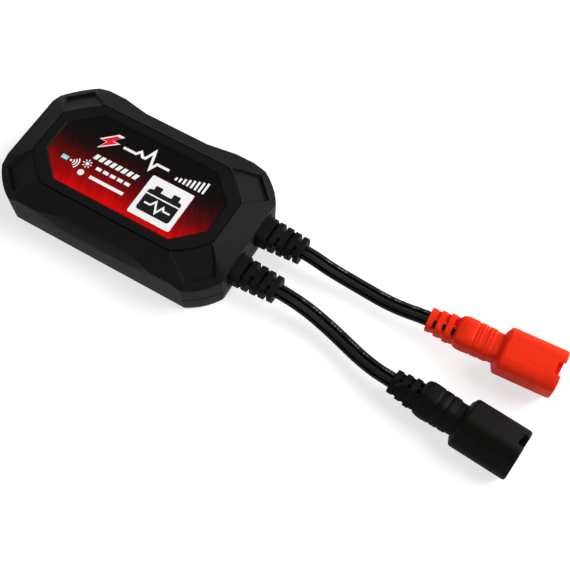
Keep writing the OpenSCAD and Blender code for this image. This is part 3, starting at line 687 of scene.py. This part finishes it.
@dataclass
class Studio:
    """White floor and world, soft lamps and the camera."""

    eye: Point = (0.1570, -0.1584, 0.3550)
    right: Point = (0.8615, 0.5077, 0.0032)
    up: Point = (-0.4532, 0.7661, 0.4558)
    lens: float = 66.56
    lamps: tuple[Softbox, ...] = (
        Softbox("key_softbox", (0.75, 0.45, 1.0), (0.8, 0.8), 14.8),
        Softbox("side_softbox", (0.70, 0.85, 0.14), (0.5, 0.2), 18.0),
        Softbox("front_softbox", (-0.1, -1.1, 1.0), (0.5, 0.5), 5.0))
    horizon: float = 0.8
    zenith: float = 0.12
    sky_band: Flat = (0.1, 0.6)
    floor_half: float = 3.0
    floor_gap: float = 0.04 * MM
    floor_glow: Flat = (0.62, 1.0)
    glow_reach: Flat = (0.3, 1.0)

    def camera(self) -> None:
        """Place the camera."""
        data = bpy.data.cameras.new("camera")
        data.lens = self.lens
        data.sensor_width = 36.0
        data.clip_start = 0.01
        data.clip_end = 20.0
        camera = bpy.data.objects.new("camera", data)
        bpy.context.scene.collection.objects.link(camera)
        x = Vector(self.right).normalized()
        y = Vector(self.up)
        y = (y - x * y.dot(x)).normalized()
        turn = Matrix((x, y, x.cross(y))).transposed().to_4x4()
        camera.matrix_world = Matrix.Translation(self.eye) @ turn
        bpy.context.scene.camera = camera

    def world(self) -> None:
        """Set a world that is brighter near the horizon, and white where it is seen."""
        world = bpy.data.worlds.new("studio")
        bpy.context.scene.world = world
        world.use_nodes = True
        n = Nodes(world.node_tree)
        soft = n.add("ShaderNodeBackground")
        level = n.span(n.axes("Generated"), "Z", self.sky_band, (self.horizon, self.zenith))
        n.link(level, "Result", soft, "Strength")
        white = n.add("ShaderNodeBackground")
        white.inputs["Color"].default_value = (1.0, 1.0, 1.0, 1.0)
        white.inputs["Strength"].default_value = 1.0
        choice = n.add("ShaderNodeMixShader")
        n.link(n.seen(), "Value", choice, "Fac")
        n.link(soft, "Background", choice, 1)
        n.link(white, "Background", choice, 2)
        n.link(choice, "Shader", n.add("ShaderNodeOutputWorld"), "Surface")

    def paper(self) -> bpy.types.Material:
        """Make the floor's white paper.

        Where it is seen it glows, and more so further out, where less light falls on it.

        Returns:
            The material.
        """
        s = Shader("floor_paper")
        s.paint(s.ramp(s.noise(0.02, 3.0, 0.5), "Fac",
                       ((0.3, (0.54, 0.54, 0.54)), (0.7, (0.56, 0.56, 0.56)))))
        s.value("Roughness", 0.9)
        s.value("Specular IOR Level", 0.0)
        away = s.add("ShaderNodeVectorMath", operation="LENGTH")
        s.link(s.place(), "Object", away, "Vector")
        reach = s.span(away, "Value", self.glow_reach, self.floor_glow)
        glow = s.math("MULTIPLY", (s.seen(), "Value"), (reach, "Result"))
        s.body.inputs["Emission Color"].default_value = (1.0, 1.0, 1.0, 1.0)
        s.link(glow, "Value", s.body, "Emission Strength")
        return s.material

    def floor(self) -> None:
        """Lay the floor just under the part."""
        bm = bmesh.new()
        bmesh.ops.create_grid(bm, x_segments=8, y_segments=8, size=self.floor_half)
        bmesh.ops.translate(bm, verts=bm.verts, vec=(0.0, 0.0, -self.floor_gap))
        mesh = bpy.data.meshes.new("floor")
        bm.to_mesh(mesh)
        bm.free()
        mesh.materials.append(self.paper())
        obj = bpy.data.objects.new("floor", mesh)
        bpy.context.scene.collection.objects.link(obj)

    def build(self) -> None:
        """Set up camera, world, lamps and floor."""
        self.camera()
        bpy.context.scene.view_settings.view_transform = "Standard"
        self.world()
        for lamp in self.lamps:
            lamp.build()
        self.floor()


# ---------------------------------------------------------------- case


@dataclass
class Case:
    """The two covers with their seal and screws."""

    edge_radius: float = 0.35 * MM
    plastic: Finish = MouldedPlastic(
        "case_plastic", (0.0036, 0.0036, 0.0037), roughness=0.5, specular=0.055,
        grain=0.5 * MM, depth=0.05 * MM)
    rubber: Finish = MouldedPlastic("seal_rubber", (0.03, 0.03, 0.032), roughness=0.75)
    steel: Finish = Metal("zinc_steel", (0.55, 0.56, 0.58), 0.32)

    def build(self) -> list[bpy.types.Object]:
        """Round the covers' edges and dress the seal and the screws.

        Returns:
            The pieces of the case.
        """
        black = self.plastic.material()
        return [
            softened("upper_cover", black, self.edge_radius),
            softened("lower_cover", black, self.edge_radius),
            dress("seal_ring", self.rubber.material()),
            dress("case_screws", self.steel.material()),
        ]


# ---------------------------------------------------------------- face label


class Print:
    """One colour of the label's print, as thin flat areas drawn in millimetres."""

    CORNER_STEPS = 5
    DISC_SIDES = 28
    ARC_STEPS = 12
    MITRE_LIMIT = 0.35
    SHARP = 20.0

    def __init__(self, low: float, thick: float) -> None:
        """Start an empty print.

        Args:
            low: Height of its underside.
            thick: Its thickness.
        """
        self.bm = bmesh.new()
        self.low = low
        self.high = low + thick

    def area(self, outline: Sequence[Flat]) -> None:
        """Add a flat area.

        Args:
            outline: Its corners in order.
        """
        rings = [[Vector((x * MM, y * MM, z * MM)) for x, y in outline]
                 for z in (self.low, self.high)]
        loft(self.bm, rings)

    def box(self, x: float, y: float, w: float, h: float, lean: float = 0.0) -> None:
        """Add a box by its left and lower edges, width and height. Its top leans to the right."""
        self.area(((x, y), (x + w, y), (x + w + lean, y + h), (x + lean, y + h)))

    def rounded(self, x: float, y: float, w: float, h: float, r: float) -> None:
        """Add a box with round corners.

        Args:
            x: Left edge.
            y: Lower edge.
            w: Width.
            h: Height.
            r: Corner radius.
        """
        corners = ((x + w - r, y + h - r), (x + r, y + h - r), (x + r, y + r), (x + w - r, y + r))
        step = 90.0 / self.CORNER_STEPS
        turns = [(cx, cy, math.radians(90.0 * quarter + step * i))
                 for quarter, (cx, cy) in enumerate(corners) for i in range(self.CORNER_STEPS + 1)]
        self.area([(cx + r * math.cos(a), cy + r * math.sin(a)) for cx, cy, a in turns])

    def disc(self, x: float, y: float, r: float) -> None:
        """Add a disc by its centre and radius."""
        turns = [math.tau * i / self.DISC_SIDES for i in range(self.DISC_SIDES)]
        self.area([(x + r * math.cos(a), y + r * math.sin(a)) for a in turns])

    def line(self, path: Sequence[Flat], width: float) -> None:
        """Add a line of even width with mitred bends.

        Args:
            path: Its points.
            width: Its width.
        """
        points = [Vector(p) for p in path]
        left, right = [], []
        for k, p in enumerate(points):
            before = (p - points[k - 1]).normalized() if k else None
            after = (points[k + 1] - p).normalized() if k + 1 < len(points) else None
            a, b = before or after, after or before
            side = Vector((-(a.y + b.y), a.x + b.x)).normalized()
            reach = 0.5 * width / max(self.MITRE_LIMIT, side.dot(Vector((-a.y, a.x))))
            left.append(tuple(p + side * reach))
            right.append(tuple(p - side * reach))
        self.area([*right, *reversed(left)])

    def arc(self, x: float, y: float, r: float, width: float, spread: float) -> None:
        """Add a part of a ring to the right of its centre, spread over an angle in degrees."""
        turns = [math.radians(spread * (i / self.ARC_STEPS - 0.5)) for i in range(self.ARC_STEPS + 1)]
        self.line([(x + r * math.cos(a), y + r * math.sin(a)) for a in turns], width)

    def finish(self, name: str, material: bpy.types.Material) -> bpy.types.Object:
        """Turn the print into a piece of the part."""
        return to_object(name, self.bm, material, self.SHARP)


@dataclass
class FaceLabel:
    """The printed label, the light window in it and its artwork, in millimetres."""

    layer: float = 0.03
    # top row: the flash and the pulse beside it
    flash: tuple[Flat, ...] = (
        (1.0, 3.4), (-3.3, -0.6), (-0.9, -0.6), (-2.2, -3.7), (3.2, 0.7), (0.7, 0.7), (3.1, 3.4))
    flash_at: Flat = (-17.0, 7.8)
    flash_rim: float = 1.3
    pulse: tuple[Flat, ...] = (
        (-11.0, 8.2), (-5.4, 8.2), (-4.0, 10.0), (-2.4, 8.2), (-1.2, 8.2), (0.6, 12.6),
        (2.8, 5.2), (4.2, 8.2), (9.6, 8.2))
    pulse_width: float = 1.1
    # rising bars on the right, and leaning dashes under the flash
    bars_at: Flat = (13.4, 5.8)
    bar_size: Flat = (0.9, 1.4)
    bar_pitch: float = 1.7
    bar_rise: float = 0.55
    dashes_at: Flat = (-18.4, -1.7)
    dash_size: Flat = (1.7, 2.4)
    dash_pitch: float = 2.5
    dash_lean: float = 0.7
    row_length: int = 8
    # the radio sign, then the blinking and the steady light with a key to each
    radio_at: Flat = (-24.9, -6.6)
    radio_dot: float = 0.45
    radio_waves: tuple[float, ...] = (1.3, 2.3, 3.3)
    radio_line: float = 0.5
    radio_spread: float = 84.0
    blink_at: Flat = (-18.6, -4.8)
    blink_dot: float = 0.75
    blink_rays: Flat = (1.15, 1.95)
    blink_line: float = 0.42
    blink_count: int = 8
    steady_at: Flat = (-18.6, -9.2)
    steady_dot: float = 1.3
    key_left: float = -14.6
    key_height: float = 1.4
    key_drop: float = 0.7
    key_dash: float = 2.3
    key_pitch: float = 3.2
    key_dashes: int = 5
    key_line: float = 15.1
    # the battery sign on its card, as left, low, width and height
    card: tuple[float, ...] = (5.6, -14.3, 18.4, 18.0)
    card_corner: float = 0.7
    cell: tuple[float, ...] = (7.6, -11.6, 14.4, 9.8)
    cell_corner: float = 1.1
    post_lefts: Flat = (9.4, 17.2)
    post_low: float = -1.9
    post_size: Flat = (3.0, 2.2)
    lid_low: float = -4.3
    lid_line: float = 0.55
    cell_pulse: tuple[Flat, ...] = (
        (9.2, -7.9), (11.8, -7.9), (13.2, -5.7), (15.2, -10.1), (16.8, -6.6), (17.6, -7.9),
        (20.4, -7.9))
    cell_pulse_width: float = 0.75
    white: Ink = Ink("white_ink", (0.86, 0.86, 0.86))
    red: Ink = Ink("red_ink", (0.78, 0.01, 0.03))
    black: Ink = Ink("black_ink", (0.004, 0.004, 0.004))

    def bolt(self, ink: Print, grow: float) -> None:
        """Draw a flash, grown by a factor about its own middle."""
        x, y = self.flash_at
        ink.area([(x + dx * grow, y + dy * grow) for dx, dy in reversed(self.flash)])

    def heading(self, ink: Print) -> None:
        """Draw the two upper rows: a pulse, rising bars and a row of leaning dashes.

        Args:
            ink: The print that takes them.
        """
        ink.line(self.pulse, self.pulse_width)
        x, y = self.bars_at
        width, height = self.bar_size
        for i in range(self.row_length):
            ink.box(x + self.bar_pitch * i, y, width, height + self.bar_rise * i)
        x, y = self.dashes_at
        for i in range(self.row_length):
            ink.box(x + self.dash_pitch * i, y, *self.dash_size, self.dash_lean)

    def radio(self, ink: Print) -> None:
        """Draw radio waves that spread from a dot.

        Args:
            ink: The print that takes them.
        """
        ink.disc(*self.radio_at, self.radio_dot)
        for r in self.radio_waves:
            ink.arc(*self.radio_at, r, self.radio_line, self.radio_spread)

    def legend(self, ink: Print) -> None:
        """Draw the two lower rows: a blink sign with dashes, and a dot with a line.

        Args:
            ink: The print that takes them.
        """
        x, y = self.blink_at
        ink.disc(x, y, self.blink_dot)
        for i in range(self.blink_count):
            a = math.tau * i / self.blink_count
            ends = [(x + r * math.cos(a), y + r * math.sin(a)) for r in self.blink_rays]
            ink.line(ends, self.blink_line)
        for i in range(self.key_dashes):
            ink.box(self.key_left + self.key_pitch * i, y - self.key_drop, self.key_dash,
                    self.key_height)
        x, y = self.steady_at
        ink.disc(x, y, self.steady_dot)
        ink.box(self.key_left, y - self.key_drop, self.key_line, self.key_height)

    def battery(self, dark: Print, light: Print) -> None:
        """Draw a battery with two terminals and a pulse across it.

        Args:
            dark: The print of its body.
            light: The print of the lines on it.
        """
        left, _, width, _ = self.cell
        dark.rounded(*self.cell, self.cell_corner)
        for post in self.post_lefts:
            dark.box(post, self.post_low, *self.post_size)
        light.box(left, self.lid_low, width, self.lid_line)
        light.line(self.cell_pulse, self.cell_pulse_width)

    def build(self) -> list[bpy.types.Object]:
        """Dress the label and the window, and lay the printed marks on it.

        Returns:
            The pieces of the label.
        """
        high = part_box("face_label")[1]
        film = LabelFilm("label_film", high.y)
        base, flash, sign, lines = (Print(high.z / MM + self.layer * k, self.layer)
                                    for k in range(4))
        self.heading(base)
        self.radio(base)
        self.legend(base)
        self.bolt(base, self.flash_rim)
        base.rounded(*self.card, self.card_corner)
        self.bolt(flash, 1.0)
        self.battery(sign, lines)
        white = self.white.material()
        return [
            dress("face_label", film.material()),
            dress("light_window", LightPipe("window_plastic").material()),
            base.finish("label_white_marks", white),
            flash.finish("label_red_flash", self.red.material()),
            sign.finish("label_battery_sign", self.black.material()),
            lines.finish("label_battery_lines", white),
        ]


# ---------------------------------------------------------------- electronics


@dataclass
class Electronics:
    """The board and what is soldered to it, out of sight inside the case."""

    finishes: tuple[tuple[Finish, tuple[str, ...]], ...] = (
        (SolderResist("board_lacquer"), ("circuit_board",)),
        (Metal("tinned_sheet", (0.62, 0.63, 0.64), 0.35), ("board_screws", "radio_module", "crystal")),
        (MouldedPlastic("moulded_epoxy", (0.02, 0.02, 0.02), roughness=0.6),
         ("processor_chip", "load_transistors")),
        (MouldedPlastic("ceramic", (0.7, 0.68, 0.62), roughness=0.7),
         ("load_resistors", "input_fuses")),
        (Metal("drawn_can", (0.72, 0.73, 0.75), 0.25), ("capacitors",)),
        (MouldedPlastic("ferrite", (0.07, 0.07, 0.075), roughness=0.65), ("inductor",)),
        (Metal("tinned_brass", (0.72, 0.56, 0.28), 0.28), ("wire_terminals",)),
        (Ink("diffuse_lens", (0.9, 0.95, 0.9), 0.3), ("status_light",)))

    def build(self) -> list[bpy.types.Object]:
        """Dress every electronic piece.

        Returns:
            The pieces inside the case.
        """
        pieces: list[bpy.types.Object] = []
        for finish, nodes in self.finishes:
            material = finish.material()
            pieces += [dress(node, material) for node in nodes]
        return pieces


# ---------------------------------------------------------------- leads


@dataclass
class TwinLead:
    """One flat twin lead from its strain relief to its connector."""

    side: Side
    route: tuple[Point, ...]
    end_yaw: float
    width: float = 6.8 * MM
    thickness: float = 3.4 * MM
    roll: float = -22.0
    groove: float = 0.65 * MM
    groove_shape: tuple[Flat, ...] = ((1.0, 1.0), (0.85, 0.9), (0.4, 0.55))
    print_edges: Flat = (1.5 * MM, 0.9 * MM)
    channel: Flat = (138.0, 158.0)
    channel_reach: float = 0.85
    crease: Flat = (117.0, 123.0)
    crease_reach: float = 0.96
    between: int = 4
    sides: int = 20

    def line(self) -> list[Vector]:
        """Lay a smooth line through the route.

        Returns:
            Points on the line, with the route's own points among them.
        """
        points = [Vector(p) for p in self.route]
        ends = [points[0] * 2 - points[1], *points, points[-1] * 2 - points[-2]]
        out: list[Vector] = []
        for k in range(len(points) - 1):
            a, b, c, d = ends[k:k + 4]
            for i in range(self.between):
                t = i / self.between
                p = 0.5 * (2 * b + (c - a) * t + (2 * a - 5 * b + 4 * c - d) * t * t
                           + (3 * b - a - 3 * c + d) * t ** 3)
                out.append(p)
        out.append(points[-1])
        return out

    def edge(self, turn: float) -> tuple[float, Surface]:
        """Shape the ribbed edge of the second core.

        Args:
            turn: Direction from the core's middle, in degrees.

        Returns:
            How far the core reaches there, as a share of its radius, and its finish.
        """
        # the channel's faces take the groove's painted shade
        if self.channel[0] < turn < self.channel[1]:
            return self.channel_reach, Surface.SHADED_GROOVE
        if self.crease[0] < turn < self.crease[1]:
            return self.crease_reach, Surface.PLAIN
        return 1.0, Surface.PLAIN

    def section(self) -> list[tuple[float, float, Surface]]:
        """Draw the outline: two flat-topped cores, a groove between them and ribs on one edge.

        Returns:
            The outline's points, each with the finish of the face that starts there.
        """
        r = self.thickness / 2
        c = self.width / 2 - r
        step = 180.0 / self.sides
        dip = [(self.groove * y, r * z) for y, z in self.groove_shape]
        top = [*dip, *((-y, z) for y, z in reversed(dip))]
        out = [(c + r * math.cos(math.radians(a)), r * math.sin(math.radians(a)), Surface.PLAIN)
               for a in (-90.0 + step * i for i in range(self.sides + 1))]
        out += [(self.print_edges[0], r, Surface.PRINTED), (self.print_edges[1], r, Surface.PLAIN)]
        # the groove's faces take the painted shade
        out += [(y, z, Surface.SHADED_GROOVE) for y, z in top[:-1]] + [(*top[-1], Surface.PLAIN)]
        for i in range(self.sides * 2 + 1):
            turn = 90.0 + step * i / 2
            share, surface = self.edge(turn)
            far = r * share
            out.append((-c + far * math.cos(math.radians(turn)), far * math.sin(math.radians(turn)),
                        surface))
        out += [(-y, -z, Surface.SHADED_GROOVE) for y, z in top]
        return out

    def rings(self, line: list[Vector], outline: Sequence[Flat]) -> list[Ring]:
        """Stand the outline across the line at each of its points.

        Args:
            line: The points of the line.
            outline: The points of the outline.

        Returns:
            A ring for each point of the line.
        """
        yaw = math.radians(self.end_yaw)
        inner = [(b - a).normalized() for a, b in zip(line, line[2:])]
        headings = [Vector((1.0, 0.0, 0.0)), *inner, Vector((math.cos(yaw), math.sin(yaw), 0.0))]
        turn = math.radians(self.roll)
        cos, sin = math.cos(turn), math.sin(turn)
        rings: list[Ring] = []
        for p, ahead in zip(line, headings):
            across = Vector((-ahead.y, ahead.x, 0.0)).normalized()
            upward = ahead.cross(across)
            rings.append([p + across * (y * cos - z * sin) + upward * (y * sin + z * cos)
                          for y, z in outline])
        return rings

    def build(self) -> list[bpy.types.Object]:
        """Returns:
            The lead's jacket.
        """
        line = self.line()
        section = self.section()
        bm = bmesh.new()
        loft(bm, self.rings(line, [(y, z) for y, z, _ in section]))
        name = f"lead_{self.side.value}"
        piece = to_object(f"{name}_jacket", bm, Jacket(f"{name}_pvc").material())
        piece.data.materials.append(Jacket(f"{name}_print", printed=True).material())
        # near-black matt material: painted shade in the groove and the channel
        piece.data.materials.append(MouldedPlastic(f"{name}_groove", (0.0008, 0.0008, 0.0008),
                                                   roughness=0.7, specular=0.02).material())
        for face in piece.data.polygons[:len(section) * (len(line) - 1)]:
            face.material_index = section[face.index % len(section)][2].value
        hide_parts(name)
        return [piece]


@dataclass
class LeadEnds:
    """A lead's strain relief, its keyed connector and the contacts in it."""

    side: Side
    start: Point
    yaw: float
    roll: float
    slot: str
    color: Color
    roughness: float
    ridge_pitch: float
    grip: Flat = (17.0 * MM, 25.2 * MM)
    boot_length: float = 10.7 * MM
    sleeve_height: float = 5.0 * MM
    window_slack: float = 0.1 * MM
    connector_edge: float = 0.3 * MM
    relief_edge: float = 0.5 * MM

    def darken_windows(self, shell: bpy.types.Object, jacket: bpy.types.Material) -> None:
        """Show the lead in the windows of the boot: their floors take its jacket, which also paints
        the shade of the deep windows.

        Args:
            shell: The connector's piece.
            jacket: The lead's material.
        """
        shell.data.materials.append(jacket)
        turn = (Matrix.Rotation(math.radians(self.yaw), 4, "Z")
                @ Matrix.Rotation(math.radians(self.roll), 4, "X"))
        place = (Matrix.Translation(self.start) @ turn).inverted()
        for face in shell.data.polygons:
            at = place @ face.center
            facing = turn.transposed() @ face.normal
            level = abs(abs(at.z) - self.sleeve_height / 2) < self.window_slack
            open_side = at.y * at.z < 0.0 and abs(facing.z) > 0.8
            # window floors: the lead's colour, partly standing in as painted shade of the deep windows
            if level and open_side and 0.0 < at.x < self.boot_length:
                face.material_index = 1

    def build(self) -> list[bpy.types.Object]:
        """Round and dress the strain relief and the connector.

        Returns:
            The pieces at the two ends of the lead.
        """
        name = self.side.value
        soft = MouldedPlastic(f"relief_{name}_tpe", (0.008, 0.008, 0.008), specular=0.02,
                              grain=0.2 * MM, depth=0.004 * MM).material()
        shell = RibbedPlastic(f"connector_{name}_plastic", self.color, self.roughness,
                              specular=0.042, grain=0.3 * MM, depth=0.01 * MM, shade=0.08,
                              start=self.start, heading=self.yaw, stretch=self.grip,
                              pitch=self.ridge_pitch).material()
        brass = Metal(f"contact_{name}_brass", (0.75, 0.58, 0.28), 0.25).material()
        wires = Jacket(f"inner_wires_{name}_pvc").material()
        body = softened(f"connector_{name}", shell, self.connector_edge)
        self.darken_windows(body, wires)
        return [
            softened(f"strain_relief_{name}", soft, self.relief_edge, segments=3),
            body,
            dress(f"contact_carrier_{name}", shell),
            dress(f"contact_sockets_{name}", brass),
            dress(f"inner_wires_{name}", wires),
        ]


def metres(*points: Point) -> tuple[Point, ...]:
    """Return points given in millimetres as points in metres."""
    return tuple((x * MM, y * MM, z * MM) for x, y, z in points)


ROUTE_POSITIVE = metres(
    (67.4, 9.4, 11), (69, 9.4, 10.95), (71, 9.35, 10.75), (73, 9.3, 10.4), (75, 9.25, 9.95),
    (77, 9.2, 9.45), (80, 9.2, 8.7), (84, 9.3, 7.8), (88, 9.4, 7.15), (92, 9.35, 6.75),
    (96, 9.2, 6.6), (100, 9, 6.6), (104, 8.85, 6.85), (108, 8.8, 7.35), (112, 8.9, 8.05),
    (115, 9.07, 8.6), (117.5, 9.24, 8.96), (119, 9.337, 9.076), (120, 9.4, 9.096))
ROUTE_NEGATIVE = metres(
    (67.4, -9.4, 11), (69, -9.4, 10.95), (71, -9.4, 10.75), (73, -9.4, 10.4), (75, -9.4, 9.95),
    (77, -9.45, 9.45), (80, -9.6, 8.7), (84, -10.1, 7.95), (88, -10.8, 7.25), (92, -11.7, 6.85),
    (96, -12.8, 6.65), (100, -14, 6.65), (104, -15.25, 6.85), (108, -16.4, 7.35), (112, -17.4, 8),
    (115, -17.97, 8.55), (117.5, -18.29, 8.9), (119, -18.427, 9.016), (120, -18.5, 9.036))
YAW_POSITIVE = 3.6
YAW_NEGATIVE = -4.2


def main() -> None:
    """Build the whole part, piece by piece."""
    logging.basicConfig(level=logging.INFO, format="%(message)s")
    Studio().build()
    red_ends = LeadEnds(
        Side.POSITIVE, ROUTE_POSITIVE[-1], YAW_POSITIVE, roll=6.0, slot="connector_red",
        color=(0.86, 0.028, 0.007), roughness=0.45, ridge_pitch=1.36 * MM)
    black_ends = LeadEnds(
        Side.NEGATIVE, ROUTE_NEGATIVE[-1], YAW_NEGATIVE, roll=-23.0, slot="connector_black",
        color=(0.0021, 0.0019, 0.0015), roughness=0.55, ridge_pitch=2.72 * MM)
    parts: list[tuple[str, Callable[[], list[bpy.types.Object]]]] = [
        ("positive lead ends", red_ends.build),
        ("negative lead ends", black_ends.build),
        ("positive lead", TwinLead(Side.POSITIVE, ROUTE_POSITIVE, YAW_POSITIVE).build),
        ("negative lead", TwinLead(Side.NEGATIVE, ROUTE_NEGATIVE, YAW_NEGATIVE).build),
        ("case", Case().build),
        ("face label", FaceLabel().build),
        ("electronics", Electronics().build),
    ]
    for title, build in parts:
        for piece in build():
            log.info("%s: %s", title, piece.name)


if __name__ == "__main__":
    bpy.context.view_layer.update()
    main()
